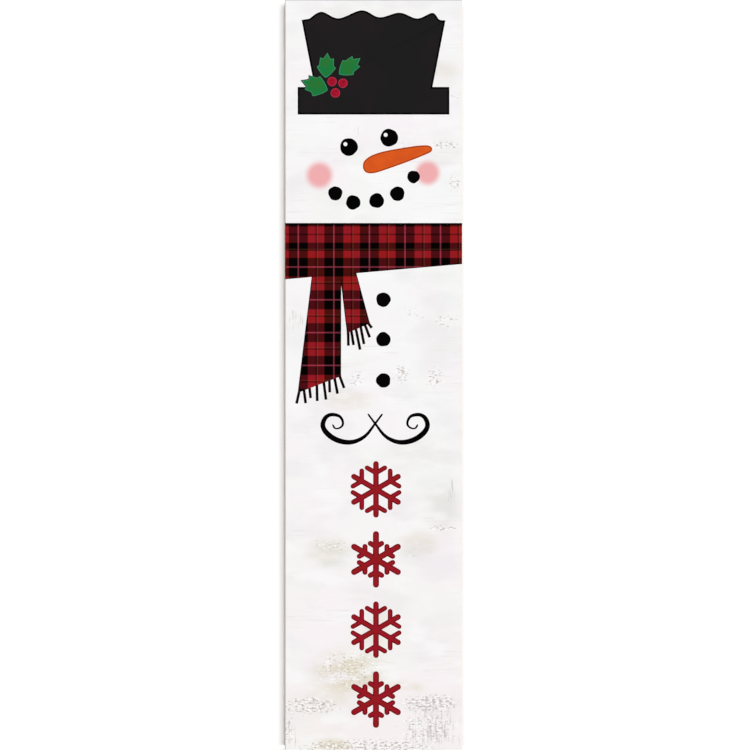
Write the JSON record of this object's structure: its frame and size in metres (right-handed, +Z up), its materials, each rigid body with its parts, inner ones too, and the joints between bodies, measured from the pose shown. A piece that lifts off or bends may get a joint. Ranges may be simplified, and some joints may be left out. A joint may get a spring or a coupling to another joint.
{
  "type": "porch board",
  "caption": "Tall narrow standing wooden porch board with a printed snowman in a top hat and plaid scarf on its front, a stapled pine frame behind, ring hangers and rubber wall pads.",
  "frame": {"origin": "middle of the foot, on the underside of the bottom rail, halfway through the 25 mm wooden depth", "axes": "+X to the right across the printed front as its viewer sees it, -Y out of the printed front, +Z up"},
  "size_m": [0.216, 0.0317, 0.9144],
  "materials": {
    "pine": "raw planed",
    "fibreboard": "raw",
    "zinc_steel": "zinc plated",
    "rubber": "matte",
    "printed_white": "matte print",
    "print_black": "matte print",
    "print_hat_black": "matte print",
    "print_green": "matte print",
    "print_berry_red": "matte print",
    "print_orange": "matte print",
    "print_blush": "matte print",
    "print_scarf_red": "matte print",
    "print_scarf_dark": "matte print",
    "print_crimson": "matte print"
  },
  "bodies": {
    "board": {"face_panel": "fibreboard", "printed_sheet": "printed_white", "left_stile": "pine", "right_stile": "pine", "bottom_rail": "pine", "lower_brace": "pine", "upper_brace": "pine", "top_rail": "pine", "staple_bottom_left": "zinc_steel", "staple_lower_left": "zinc_steel", "staple_upper_left": "zinc_steel", "staple_top_left": "zinc_steel", "hanger_strap_left": "zinc_steel", "hanger_screw_left": "zinc_steel", "pad_bottom_left": "rubber", "pad_top_left": "rubber", "print_eye_left": "print_black", "print_cheek_left": "print_blush", "staple_bottom_right": "zinc_steel", "staple_lower_right": "zinc_steel", "staple_upper_right": "zinc_steel", "staple_top_right": "zinc_steel", "hanger_strap_right": "zinc_steel", "hanger_screw_right": "zinc_steel", "pad_bottom_right": "rubber", "pad_top_right": "rubber", "print_eye_right": "print_black", "print_cheek_right": "print_blush", "print_hat": "print_hat_black", "print_leaf_middle": "print_green", "print_leaf_right": "print_green", "print_leaf_left": "print_green", "print_berry_left": "print_berry_red", "print_berry_right": "print_berry_red", "print_berry_low": "print_berry_red", "print_nose": "print_orange", "print_mouth_coal_1": "print_black", "print_mouth_coal_2": "print_black", "print_mouth_coal_3": "print_black", "print_mouth_coal_4": "print_black", "print_mouth_coal_5": "print_black", "print_scarf_band": "print_scarf_red", "print_scarf_long_tail": "print_scarf_red", "print_scarf_short_tail": "print_scarf_red", "print_scarf_checks": "print_scarf_dark", "print_fringe_long": "print_black", "print_fringe_short": "print_black", "print_button_1": "print_black", "print_button_2": "print_black", "print_button_3": "print_black", "print_flourish": "print_black", "print_snowflake_1": "print_crimson", "print_snowflake_2": "print_crimson", "print_snowflake_3": "print_crimson", "print_snowflake_4": "print_crimson"},
    "left_ring": {"hanger_ring_left": "zinc_steel"},
    "right_ring": {"hanger_ring_right": "zinc_steel"}
  },
  "joints": [
    {"name": "left_ring_swing", "type": "hinge", "parent": "board", "child": "left_ring", "pos_m": [-0.09695, 0.01525, 0.84], "axis": [1, 0, 0], "range_deg": [0, 180]},
    {"name": "right_ring_swing", "type": "hinge", "parent": "board", "child": "right_ring", "pos_m": [0.09695, 0.01525, 0.84], "axis": [1, 0, 0], "range_deg": [0, 180]}
  ]
}
